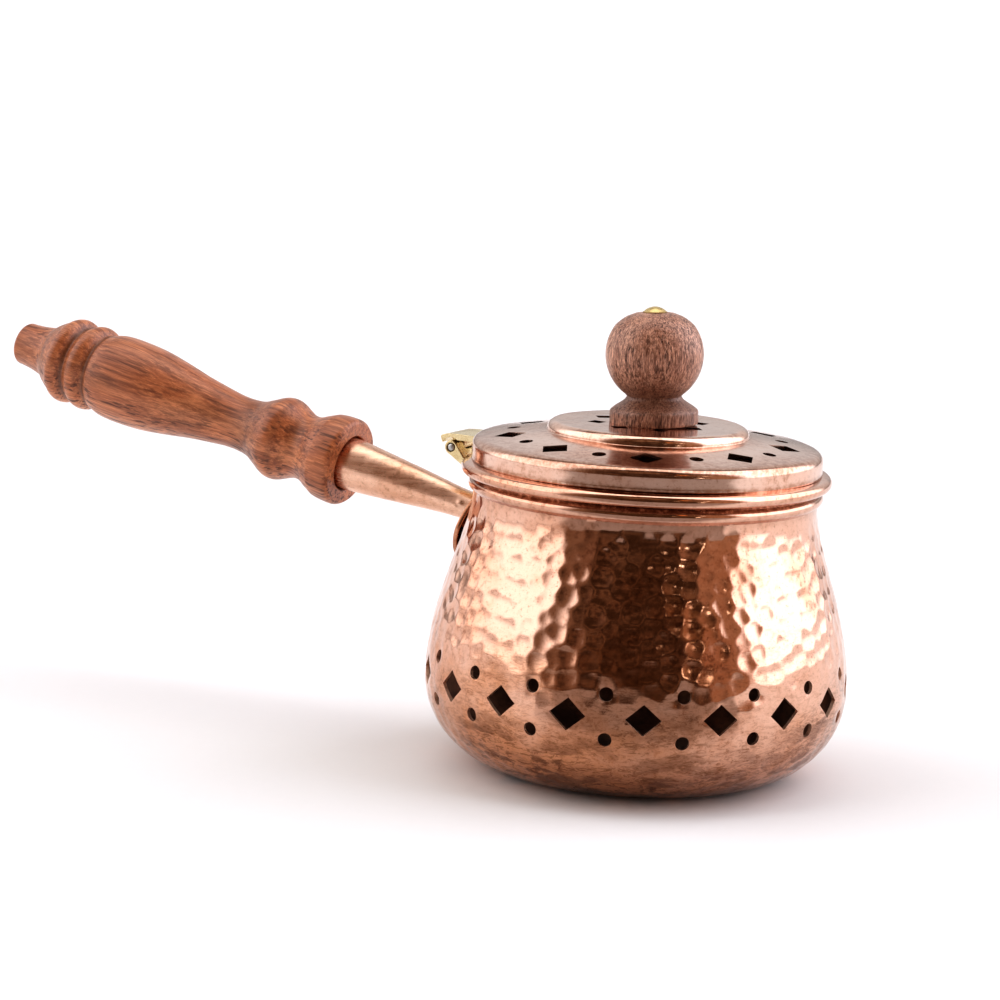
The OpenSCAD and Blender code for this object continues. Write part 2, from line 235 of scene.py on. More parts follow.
def tilted(origin, degrees):
    """Frame turned about Y so that local +Z points outwards along -X and up by degrees."""
    return Matrix.Translation(Vector(origin) * MM) @ Matrix.Rotation(math.radians(degrees - 90), 4, "Y")


# The knob sits a little askew on its screw
KNOB_LEAN = (Matrix.Translation(Vector((1.2, 0.65, BOSS_Z)) * MM)
             @ Matrix.Rotation(math.radians(-2.4), 4, Vector((-0.46, 0.887, 0)))
             @ Matrix.Translation(Vector((0, 0, -BOSS_Z)) * MM))
on_wall = tilted((-PLATE_R, 0, PLATE_Z), PLATE_TILT)
along_handle = tilted((0, 0, HANDLE_Z), HANDLE_TILT)


# ---------------------------------------------------------------- hand work on the sheet
def outward(line):
    """Unit normals of an outline, to the right of its direction."""
    t = np.gradient(line, axis=0)
    t /= np.maximum(np.hypot(t[:, 0], t[:, 1]), 1e-9)[:, None]
    return np.column_stack([t[:, 1], -t[:, 0]])


def smooth_step(low, high, x):
    t = np.clip((x - low) / (high - low), 0, 1)
    return t * t * (3 - 2 * t)


def ripples(turn, height, size, waves):
    """Slow unevenness of hand-raised metal, in mm."""
    out = 0
    for n, k in waves:
        a, b = rng.uniform(0, 2 * math.pi, 2)
        out = out + np.sin(n * turn[None, :] + a + 0.7 * np.sin(k * height[:, None] + b))
    return size * out / len(waves)


def turn_away(turn, angle):
    """How far each direction of turn is from angle, between minus and plus half a turn."""
    return (turn - angle + math.pi) % (2 * math.pi) - math.pi


class Holes:
    """Every hole of the pierced band: its outline in the wall and where it lies."""

    def __init__(self):
        self.items = []
        for k in range(BAND_COUNT):
            angle = math.radians(BAND_START + 360 * k / BAND_COUNT)
            half = math.radians(180 / BAND_COUNT)
            self.add("diamond", angle, BAND_Z + rng.uniform(-0.25, 0.25))
            for s in (-1, 1):
                self.add("dot", angle + half, BAND_Z + s * DOT_RISE + rng.uniform(-0.3, 0.3))

    def add(self, kind, angle, z):
        self.items.append((kind, angle + rng.uniform(-0.006, 0.006), z, rng.uniform(-3, 3),
                           rng.uniform(0.97, 1.03)))

    def outline(self, kind, twist, size):
        if kind == "dot":
            return arc((0, 0), DOT_R * size, 0, 360, 32)[:-1]
        w, h = DIAMOND[0] / 2 * size, DIAMOND[1] / 2 * size
        c, s = math.cos(math.radians(twist)), math.sin(math.radians(twist))
        return [(c * x - s * y, s * x + c * y) for x, y in ((w, 0), (0, h), (-w, 0), (0, -h))]

    def distance(self, kind, size, x, y):
        """Distance from the hole's edge, outside it, in mm."""
        if kind == "dot":
            return np.hypot(x, y) - DOT_R * size
        w, h = DIAMOND[0] / 2 * size, DIAMOND[1] / 2 * size
        return (np.abs(x) / w + np.abs(y) / h - 1) * w * h / math.hypot(w, h)

    def cutters(self):
        made = []
        for kind, angle, z, twist, size in self.items:
            place = Matrix.Rotation(angle, 4, "Z") @ Matrix.Translation(Vector((0, 0, z * MM)))
            place = place @ Matrix(((0, 0, 1, 0), (1, 0, 0, 0), (0, 1, 0, 0), (0, 0, 0, 1)))
            made.append(prism("cutter", self.outline(kind, twist, size), BELLY_R - 9, BELLY_R + 4, place))
        return join("cutters", made)


DIMPLE_R, DIMPLE_DEPTH, DIMPLE_COLUMNS, DIMPLE_PITCH, DIMPLE_JITTER = 2.9, 0.34, 70, 5.0, 0.36
DIMPLE_LOW, DIMPLE_HIGH = 5.0, 70.0
HOLE_DIP, HOLE_DIP_WIDTH, WAVE = 0.16, 0.8, 0.16
POT_SEGMENTS, POT_STEP = 468, 0.66
band = Holes()


def hammer(grid, turn, line, outer_rows):
    """Rows of round hammer marks, soft ripples and a slight dip round each punched hole. The
    first outer_rows points of the line are the outside of the wall."""
    outer = np.arange(len(line)) < outer_rows
    run = np.concatenate([[0], np.cumsum(np.hypot(*np.diff(line, axis=0).T))])
    field = np.zeros(grid.shape[:2])
    wall_rows = np.where(outer & (line[:, 1] > 0.5) & (line[:, 1] < NECK_Z + 1))[0]
    low = np.interp(DIMPLE_LOW, line[wall_rows, 1], run[wall_rows])
    high = np.interp(DIMPLE_HIGH, line[wall_rows, 1], run[wall_rows])
    for column in range(DIMPLE_COLUMNS):
        up = low + DIMPLE_PITCH * (0.5 if column % 2 else 0) + rng.uniform(-0.9, 0.9)
        while up < high:
            here = up + rng.uniform(-0.5, 0.5)
            jitter = rng.uniform(-DIMPLE_JITTER, DIMPLE_JITTER)
            angle = 2 * math.pi * (column + jitter) / DIMPLE_COLUMNS
            radius = DIMPLE_R * rng.uniform(0.82, 1.12)
            z = np.interp(here, run[wall_rows], line[wall_rows, 1])
            depth = DIMPLE_DEPTH * rng.uniform(0.55, 1.15) * (radius / DIMPLE_R) ** 2
            depth *= (0.5 + 0.5 * smooth_step(30, 38, z)) * (1 - 0.6 * smooth_step(64, 71, z))
            rows = wall_rows[np.abs(run[wall_rows] - here) < radius * 1.1]
            away = turn_away(turn, angle)
            cols = np.where(np.abs(away) * BELLY_R < radius * 1.4)[0]
            part = np.ix_(rows, cols)
            d2 = (run[rows, None] - here) ** 2 + (line[rows, 0, None] * away[None, cols]) ** 2
            dent = depth * (d2 / radius ** 2 - 1)
            field[part] = np.minimum(field[part], np.minimum(0, dent))
            up += DIMPLE_PITCH * rng.uniform(0.88, 1.12)
    for kind, angle, z, _, size in band.items:
        rows = wall_rows[np.abs(line[wall_rows, 1] - z) < 7]
        away = turn_away(turn, angle)
        cols = np.where(np.abs(away) * BELLY_R < 8)[0]
        d = band.distance(kind, size, line[rows, 0, None] * away[None, cols], line[rows, 1, None] - z)
        field[np.ix_(rows, cols)] -= HOLE_DIP * np.exp(-np.maximum(d, 0) / HOLE_DIP_WIDTH)
    uneven = ripples(turn, line[:, 1], WAVE, ((2, 0.05), (3, 0.09), (5, 0.13), (8, 0.2)))
    uneven = (uneven - WAVE) * smooth_step(1, 8, line[:, 1])[:, None]
    field += uneven
    field[~outer] = uneven[~outer]
    n = outward(line)
    n[~outer] = -n[~outer]
    grid[:, :, 0] += field * n[:, 0, None] * np.cos(turn)
    grid[:, :, 1] += field * n[:, 0, None] * np.sin(turn)
    grid[:, :, 2] += field * n[:, 1, None]
    return grid


def build_pot():
    foot = [(0, 0), (9, 0), (18, 0), (26, 0), (31, 0), (32.5, 0.01)]
    wall = spaced(np.vstack([[BASE_R, 0.02], bowl(0, 60), side(0, 80)[1:]]), POT_STEP)
    bead = arc((NECK_R - 0.5, BEAD_Z), BEAD_R, -58, 58, 10)
    crease = [(NECK_R + 0.28, 75.8), (NECK_R + 0.16, 76), (NECK_R + 0.35, 76.15)]
    lip = arc((LIP_R - LIP_ROUND, MOUTH_Z - LIP_ROUND), LIP_ROUND, -62, 90, 13)
    outer = np.vstack([foot, wall, bead, crease, lip])
    inner = np.vstack([
        [(46, MOUTH_Z), (NECK_R - WALL + 0.6, MOUTH_Z)], [(NECK_R - WALL + 0.15, MOUTH_Z - 0.2)],
        [(NECK_R - WALL, MOUTH_Z - 0.8)], spaced(side(WALL, 60)[::-1], 3.2),
        spaced(bowl(WALL, 40)[::-1][1:], 3.0), [(BASE_R, WALL), (20, WALL), (10, WALL), (0, WALL)]])
    pot = lathe("hammered_pot", np.vstack([outer, inner]), POT_SEGMENTS,
                lambda grid, turn, line: hammer(grid, turn, line, len(outer)))
    boolean(pot, band.cutters())
    return smooth(pot, 42)


def lid_sheet():
    """Closed outline of the pressed lid, outside first, then back along the inside."""
    crown = spaced([(BOLT_R + 0.1, BOSS_Z), (BOSS_R - BOSS_ROUND, BOSS_Z)], 1.0)
    shoulder = arc((BOSS_R - BOSS_ROUND, BOSS_Z - BOSS_ROUND), BOSS_ROUND, 86, 0, 14)
    cove = [(BOSS_R + 0.04, RING_TOP + 0.2), (BOSS_R + 0.2, RING_TOP + 0.08), (BOSS_R + 0.7, RING_TOP - 0.02)]
    cone = spaced([(BOSS_R + 1.2, RING_TOP - 0.1), (LID_R - EDGE_ROUND + 0.2, LID_EDGE_Z + 0.02)], 1.0)
    edge = arc((LID_R - EDGE_ROUND, LID_EDGE_Z - EDGE_ROUND), EDGE_ROUND - 0.02, 80, 0, 16)
    seat = MOUTH_Z + 0.1
    skirt = [(LID_R - 0.06, LID_EDGE_Z - 3.2), (LID_R - 0.1, seat + 1.6), (LID_R - 0.04, seat + 0.9),
             (LID_R, seat + 0.5), (LID_R - 0.1, seat + 0.15), (LID_R - 0.4, seat)]
    plug = [(PLUG_R + 0.5, seat), (PLUG_R + 0.1, seat - 0.3), (PLUG_R, seat - 1), (PLUG_R, PLUG_Z + 0.3),
            (PLUG_R - 0.3, PLUG_Z), (PLUG_R - 0.7, PLUG_Z), (PLUG_R - LID_WALL, PLUG_Z + 0.3)]
    under = np.vstack([
        [(PLUG_R - LID_WALL, seat + 0.6), (PLUG_R - 0.6, seat + LID_WALL),
         (LID_R - LID_WALL, seat + LID_WALL)],
        arc((LID_R - EDGE_ROUND, LID_EDGE_Z - EDGE_ROUND), EDGE_ROUND - LID_WALL, 0, 80, 6),
        spaced([(LID_R - EDGE_ROUND - 1, LID_EDGE_Z - 0.82), (BOSS_R + 0.8, RING_TOP - LID_WALL)], 2.5),
        [(BOSS_R - 0.4, RING_TOP - LID_WALL + 0.15), (BOSS_R - LID_WALL, RING_TOP - 0.4)],
        arc((BOSS_R - BOSS_ROUND, BOSS_Z - BOSS_ROUND), BOSS_ROUND - LID_WALL, 0, 90, 6),
        spaced([(BOSS_R - BOSS_ROUND - 1, BOSS_Z - LID_WALL), (BOLT_R + 0.1, BOSS_Z - LID_WALL)], 2.5)])
    return np.vstack([crown, shoulder, cove, cone, edge, skirt, plug, under])[::-1]


def uneven_lid(grid, turn, line):
    """Slow waves in the lid's slope."""
    wave = ripples(turn, line[:, 1], 0.09, ((2, 0.3), (3, 0.2), (5, 0.4), (9, 0.1)))
    slope = smooth_step(14, 30, line[:, 0])[:, None] * (line[:, 1] > MOUTH_Z + 2)[:, None]
    grid[:, :, 2] += (wave - 0.09) * slope
    return grid


def lid_cutters():
    """Ring of round and square holes in turn, and the small squares round the knob."""
    made = []
    for k in range(RING_COUNT):
        angle = math.radians(RING_START + 360 * k / RING_COUNT) + rng.uniform(-0.012, 0.012)
        reach = RING_R + rng.uniform(-0.3, 0.3)
        place = Matrix.Rotation(angle, 4, "Z") @ Matrix.Translation((reach * MM, 0, 0))
        if k % 2:
            outline = arc((0, 0), DOT_R * rng.uniform(0.97, 1.03), 0, 360, 32)[:-1]
        else:
            turn = rng.uniform(-4, 4)
            outline = arc((0, 0), PUNCH / math.sqrt(2), turn, turn + 360, 4)[:-1]
        made.append(prism("cutter", outline, PLUG_Z, BOSS_Z + 6, place))
    for k in range(EYE_COUNT):
        angle = math.radians(EYE_START + 360 * k / EYE_COUNT) + rng.uniform(-0.02, 0.02)
        place = Matrix.Rotation(angle, 4, "Z") @ Matrix.Translation((EYE_R * MM, 0, 0))
        eye = arc((0, 0), EYE_SIDE / math.sqrt(2), 0, 360, 4)[:-1]
        made.append(prism("cutter", eye, PLUG_Z, BOSS_Z + 6, place))
    return join("lid_cutters", made)


def build_lid():
    lid = lathe("pierced_lid", lid_sheet(), 256, uneven_lid, closed=True)
    boolean(lid, lid_cutters())
    return smooth(lid, 40)


def build_knob():
    low = -math.degrees(math.asin((BALL_Z - BOSS_Z - RIM_H - 4.4) / BALL_R))
    rim = BOSS_Z + RIM_H
    flare = [(FOOT_R - 0.08, rim - 0.1), (FOOT_R - 0.4, rim + 0.3), (FOOT_R - 1.3, rim + 1),
             (FOOT_R - 2.7, rim + 1.9), (KNOB_NECK_R + 0.6, rim + 2.8), (KNOB_NECK_R, rim + 3.7)]
    outline = np.vstack([
        [(BOLT_R, BOSS_Z), (FOOT_R - 0.5, BOSS_Z), (FOOT_R - 0.15, BOSS_Z + 0.12), (FOOT_R, BOSS_Z + 0.45)],
        spaced([(FOOT_R, BOSS_Z + 0.8), (FOOT_R, rim - 0.5)], 0.6), spline(flare, 5),
        arc((0, BALL_Z), BALL_R, low, 34, 46), [(x * BALL_R, BALL_Z + z * BALL_R) for x, z in BALL_SHOULDER],
        [(2.4, KNOB_TOP - 0.02), (BOLT_R, KNOB_TOP - 0.3)]])
    knob = smooth(lathe("wooden_knob", outline, 128, closed=True), 40)
    return place_object(knob, KNOB_LEAN)


def dome_outline(radius, height, shank, reach):
    """Domed head on z = 0 with a shank that goes reach below it."""
    ball = (radius ** 2 + height ** 2) / (2 * height)
    turn = math.degrees(math.asin(radius / ball))
    head = arc((0, height - ball), ball, 90 - turn + 6, 90, 9)
    stem = [(0, -reach), (shank * 0.8, -reach), (shank, -reach + shank * 0.2), (shank, -0.02),
            (radius - 0.25, 0), (radius - 0.04, 0.08), (radius - 0.02, 0.2)]
    return np.vstack([stem, head[head[:, 1] > 0.24]])


def build_bolt():
    reach = KNOB_TOP - (BOSS_Z - LID_WALL - 5)
    bolt = lathe("knob_screw", dome_outline(BOLT_HEAD_R, BOLT_HEAD_H, BOLT_R, reach), 64)
    return smooth(place_object(bolt, KNOB_LEAN @ Matrix.Translation((0, 0, KNOB_TOP * MM))), 40)


def grip_outline():
    """Outline of the turned grip, as (radius, distance along the handle)."""
    collar = [(0, 11.5), (0.9, 12.2), (2.2, 12.4), (5, 12.3), (7, 12)]
    cove = [(7, 12), (9.6, 10.8), (12, 9.6), (14, 9.2), (16, 9.45), (18.5, 10.5), (20.3, 11.35)]
    bead = [(20.3, 11.35), (22, 11.8), (23.8, 11.65), (25.4, 11)]
    waist = [(25.4, 11), (28, 9.6), (31, 8.2), (35, 7.6), (39.5, 7.65), (45, 8.3)]
    swell = [(45, 8.3), (52, 9.3), (60, 10.8), (68, 12), (76, 12.4), (81, 12.2), (84.3, 11.4)]
    tail = [(100.6, 10.4), (102.4, 9.2), (104, 7.9), (106, 7.2), (109, 6.6), (112, 6.25),
            (GRIP_L - 0.8, 6.15)]
    turned = [spline(p, 6)[:, ::-1] + [0, GRIP_START] for p in (collar, cove + bead[1:], waist, swell, tail)]
    end = GRIP_START + GRIP_L
    return np.vstack([
        [(FERRULE_R + 0.5, FERRULE_END), (FERRULE_R + 0.5, GRIP_START + 0.3), (FERRULE_R + 0.8, GRIP_START)],
        spaced([(FERRULE_R + 1.2, GRIP_START), (11.2, GRIP_START)], 0.8), turned[0], turned[1][1:],
        turned[2][1:], turned[3][1:], [(10.75, GRIP_START + 85.2), (10.65, GRIP_START + 85.7)],
        arc((8.9, GRIP_START + 89.3), 3.5, -58, 58, 16), [(10.55, GRIP_START + 93.2)],
        arc((9.6, GRIP_START + 96.5), 2.9, -60, 50, 14), turned[4],
        [(5.85, end - 0.35), (5.4, end - 0.12), (4.9, end - 0.08), (2.5, end - 0.06), (0, end - 0.06)]])


def build_grip():
    grip = lathe("wooden_grip", np.vstack([[(0, FERRULE_END)], grip_outline()]), 144)
    return smooth(place_object(grip, along_handle), 50)


# Drops of solder near the ferrule's tip: distance along the handle, angle and height
SOLDER = ((53.5, -1.9, 0.22), (55.2, -1.75, 0.18), (57.4, -1.95, 0.16), (54.5, -1.3, 0.14),
          (60.5, -1.85, 0.1))


def dented(grid, turn, line, outer_rows):
    """A soldered seam along the cone, small dents and solder spots near its tip, and a slight bend."""
    seam = turn_away(turn, 0.6)
    field = 0.12 * smooth_step(-0.05, 0.02, seam)[None, :] * smooth_step(0.9, 0.25, seam)[None, :]
    field = field * np.ones((len(line), 1))
    for _ in range(26):
        z, a = rng.uniform(52, 92), rng.uniform(0, 2 * math.pi)
        wide, size = rng.uniform(0.8, 2.2), rng.uniform(-0.07, 0.03)
        away = turn_away(turn, a)[None, :] * line[:, 0, None]
        field += size * np.exp(-((line[:, 1, None] - z) ** 2 + away ** 2) / wide ** 2)
    for z, a, size in SOLDER:
        away = turn_away(turn, a)[None, :] * line[:, 0, None]
        field += size * np.exp(-((line[:, 1, None] - z) ** 2 + away ** 2) / 0.5)
    keep = (line[:, 0] > FERRULE_TIP_R - 0.1)[:, None] * (np.arange(len(line)) < outer_rows)[:, None]
    field = (field - 0.05) * keep
    bend = FERRULE_BEND * smooth_step(GRIP_START, 60, line[:, 1])
    grid[:, :, 0] += field * np.cos(turn) + bend[:, None]
    grid[:, :, 1] += field * np.sin(turn)
    return grid


def build_ferrule():
    outer = spaced(spline([(FERRULE_TIP_R + 0.35, 47.6), (FERRULE_TIP_R + 0.3, 50.5),
                           (FERRULE_TIP_R + 0.5, 58), (5.7, 73), (FERRULE_R - 0.2, GRIP_START - 4),
                           (FERRULE_R, FERRULE_END - 0.2)], 12), 0.5)
    inner = [(FERRULE_R - 0.3, FERRULE_END), (FERRULE_R - 0.8, FERRULE_END - 0.1), (6.1, GRIP_START - 4),
             (3.4, 61), (2.4, 60), (2.4, 52), (0, 52)]
    cone = lathe("copper_ferrule", np.vstack([[(0, 47.6)], outer, inner]), 128,
                 lambda grid, turn, line: dented(grid, turn, line, len(outer)))
    return smooth(place_object(cone, along_handle), 45)


def build_plate():
    turn = np.linspace(0, 2 * math.pi, 96, endpoint=False)
    reach = 0.98 + 0.011 * np.sin(3 * turn + 1) + 0.008 * np.sin(7 * turn)
    outline = np.column_stack([PLATE_HIGH * reach * np.cos(turn), PLATE_WIDE * reach * np.sin(turn)])
    plate = prism("handle_shield", outline, 0, PLATE_T, on_wall)
    bevel(plate, 0.3, 3)
    return smooth(plate, 30)


def rivets(name, spots, radius, height, shank, reach):
    """Round-headed rivets at matrices whose +Z points out of each head."""
    made = [place_object(lathe("rivet", dome_outline(radius, height, shank, reach), 40), m) for m in spots]
    return smooth(join(name, made), 40)


def build_plate_rivets():
    spots = [on_wall @ Matrix.Translation(Vector((x, y, PLATE_T)) * MM) for x, y in PLATE_RIVETS]
    return rivets("shield_rivets", spots, 1.7, 1.0, 1.1, PLATE_T + 2.4)


def slab(name, outline, width):
    """Outline of (distance from the pot's axis, height), width wide about y = 0, on the -X side."""
    place = Matrix(((-1, 0, 0, 0), (0, 0, -1, 0), (0, 1, 0, 0), (0, 0, 0, 1)))
    points = np.array(outline, float)
    area = np.sum(points[:, 0] * np.roll(points[:, 1], -1) - np.roll(points[:, 0], -1) * points[:, 1])
    if area > 0:
        points = points[::-1]
    return prism(name, points, -width / 2, width / 2, place)


def pin_arc(radius):
    """Circle round the hinge's pin."""
    return arc((HINGE_R, HINGE_Z), radius, 0, 360, 48)[:-1]


def at_pin(radius, degrees):
    """Point beside the hinge's pin."""
    a = math.radians(degrees)
    return HINGE_R + radius * math.cos(a), HINGE_Z + radius * math.sin(a)


CAST_VOXEL, CAST_SMOOTHING = 0.13, 5


def build_pot_leaf():
    foot = 47.4
    strap = [at_pin(KNUCKLE_R - 0.05, -50), (foot, 72.4), (foot, 69.4), (44.6, 69.4), (45.6, 74.9),
             (foot - 0.4, 74.9), (foot, 74.4), (50.4, 76.3), at_pin(KNUCKLE_R - 0.05, 150)]
    leaf = slab("hinge_strap", strap, HINGE_W)
    boolean(leaf, slab("ring", pin_arc(KNUCKLE_R), HINGE_W - 0.01), "UNION")
    boolean(leaf, slab("gap", pin_arc(KNUCKLE_R + 0.65), LID_KNUCKLE_W + 0.5))
    boolean(leaf, slab("bore", pin_arc(PIN_R + 0.22), HINGE_W + 2))
    soften(leaf, CAST_VOXEL, CAST_SMOOTHING)
    return smooth(leaf, 50)


def build_lid_leaf():
    under, relief = 81.6, 2.75
    notch = [at_pin(relief, a) for a in np.linspace(25, 130, 15)]
    hook = [(HINGE_R + 2.8, 80.75), (HINGE_R + 3.3, 82), (HINGE_R + 3.1, 82.6), (HINGE_R + 1.6, 83.1),
            (HINGE_R - 1, 83.3)]
    shape = [(LID_R - 0.2, under)] + notch[::-1] + hook + [(LID_R - 0.2, 83.2)]
    leaf = slab("hinge_cap", shape, HINGE_W)
    boolean(leaf, slab("ring", pin_arc(KNUCKLE_R), LID_KNUCKLE_W), "UNION")
    web = [at_pin(KNUCKLE_R - 0.1, 180), at_pin(KNUCKLE_R - 0.1, 0), (HINGE_R + 1.8, 82.6),
           (HINGE_R - 1.8, 82.6)]
    boolean(leaf, slab("web", web, LID_KNUCKLE_W), "UNION")
    soften(leaf, CAST_VOXEL, CAST_SMOOTHING)
    boolean(leaf, slab("bore", pin_arc(PIN_R + 0.05), HINGE_W + 2))
    return smooth(leaf, 50)


def build_pin():
    half = HINGE_W / 2
    outline = [(0, -half - 0.2), (0.6, -half - 0.18), (0.88, -half - 0.05), (PIN_R, -half + 0.15),
               (PIN_R, half - 0.15), (0.88, half + 0.05), (0.6, half + 0.18), (0, half + 0.2)]
    pin = lathe("hinge_rod", outline, 32)
    return smooth(place_object(pin, along((0, 1, 0), (-HINGE_R, 0, HINGE_Z))), 40)


LEAF_RIVET_Y, LEAF_RIVET_R, LEAF_RIVET_H, LEAF_SHANK_R = 4.1, 1.1, 0.8, 0.6


def build_strap_rivets():
    spots = [along((-1, 0, 0), (-47.3, s * LEAF_RIVET_Y, 70.95)) for s in (-1, 1)]
    return rivets("strap_rivets", spots, LEAF_RIVET_R, LEAF_RIVET_H, LEAF_SHANK_R, 3.9)


def build_cap_rivets():
    x = -math.sqrt((LID_R - LID_WALL) ** 2 - (LEAF_RIVET_Y + LEAF_RIVET_R) ** 2)
    spots = [along((1, 0, 0), (x, s * LEAF_RIVET_Y, 82.4)) for s in (-1, 1)]
    return rivets("cap_rivets", spots, LEAF_RIVET_R, LEAF_RIVET_H, LEAF_SHANK_R, 4.0)


# ---------------------------------------------------------------- materials
class Surface:
    """A node material around one Principled shader, with short helpers."""

    def __init__(self, name, **settings):
        self.material = bpy.data.materials.new(name)
        self.material.use_nodes = True
        self.tree = self.material.node_tree
        self.shader = self.tree.nodes["Principled BSDF"]
        for key, value in settings.items():
            self.shader.inputs[key.replace("_", " ")].default_value = value
        self.at = self.tree.nodes.new("ShaderNodeTexCoord").outputs["Object"]

    def node(self, kind, **values):
        n = self.tree.nodes.new("ShaderNode" + kind)
        for key, value in values.items():
            self.put(n.inputs[key], value)
        return n

    def put(self, socket, value):
        """Links a socket, or sets it to a constant."""
        if isinstance(value, bpy.types.NodeSocket):
            self.tree.links.new(value, socket)
        else:
            socket.default_value = value

    def math(self, operation, a, b=0.0):
        n = self.tree.nodes.new("ShaderNodeMath")
        n.operation = operation
        for socket, value in zip(n.inputs, (a, b)):
            self.put(socket, value)
        return n.outputs[0]

    def mapped(self, scale=(1, 1, 1), turn=(0, 0, 0), shift=(0, 0, 0)):
        """The object's coordinates, turned into a tilted frame and then scaled."""
        n = self.node("Mapping")
        n.vector_type = "TEXTURE" if turn != (0, 0, 0) else "POINT"
        n.inputs["Location"].default_value = shift
        n.inputs["Rotation"].default_value = turn
        n.inputs["Scale"].default_value = scale if n.vector_type == "POINT" else tuple(1 / s for s in scale)
        self.put(n.inputs["Vector"], self.at)
        return n.outputs[0]

    def noise(self, scale, detail=4.0, rough=0.55, vector=None, distort=0.0):
        n = self.node("TexNoise", Scale=scale, Detail=detail, Roughness=rough, Distortion=distort)
        self.put(n.inputs["Vector"], self.at if vector is None else vector)
        return n.outputs["Fac"]

    def cells(self, scale):
        """Distance from the nearest of many scattered points."""
        n = self.node("TexVoronoi", Scale=scale)
        self.put(n.inputs["Vector"], self.at)
        return n.outputs["Distance"]

    def ramp(self, value, low, high):
        """Black below low, white above high, eased between."""
        n = self.node("ValToRGB")
        n.color_ramp.interpolation = "EASE"
        for stop, place, level in zip(n.color_ramp.elements, (low, high), (0.0, 1.0)):
            stop.position, stop.color = place, (level, level, level, 1)
        self.put(n.inputs[0], value)
        return n.outputs[0]

    def spread(self, value, low, high, to_low=0.0, to_high=1.0):
        """Maps low..high smoothly to to_low..to_high, and stays level outside."""
        n = self.node("MapRange")
        n.interpolation_type = "SMOOTHSTEP"
        for socket, v in zip(n.inputs, (value, low, high, to_low, to_high)):
            self.put(socket, v)
        return n.outputs[0]

    def mix(self, amount, a, b):
        n = self.tree.nodes.new("ShaderNodeMix")
        n.data_type = "RGBA"
        self.put(n.inputs["Factor"], amount)
        for socket, value in ((n.inputs[6], a), (n.inputs[7], b)):
            self.put(socket, (*value, 1) if isinstance(value, tuple) else value)
        return n.outputs[2]

    def axis(self, letter):
        n = self.node("SeparateXYZ")
        self.put(n.inputs[0], self.at)
        return n.outputs[letter]

    def bump(self, height, strength, distance, below=None):
        n = self.node("Bump", Strength=strength, Distance=distance * MM)
        self.put(n.inputs["Height"], height)
        if below is not None:
            self.put(n.inputs["Normal"], below)
        return n.outputs[0]

    def finish(self, colour, roughness, normal=None):
        self.put(self.shader.inputs["Base Color"], colour)
        self.put(self.shader.inputs["Roughness"], roughness)
        if normal is not None:
            self.put(self.shader.inputs["Normal"], normal)
        return self.material


def near(s, place, width, strength):
    """Falls from strength to 0 within width of the height place, both in mm."""
    off = s.math("ABSOLUTE", s.math("SUBTRACT", s.axis("Z"), place * MM))
    return s.spread(off, 0.15 * width * MM, width * MM, strength, 0.0)


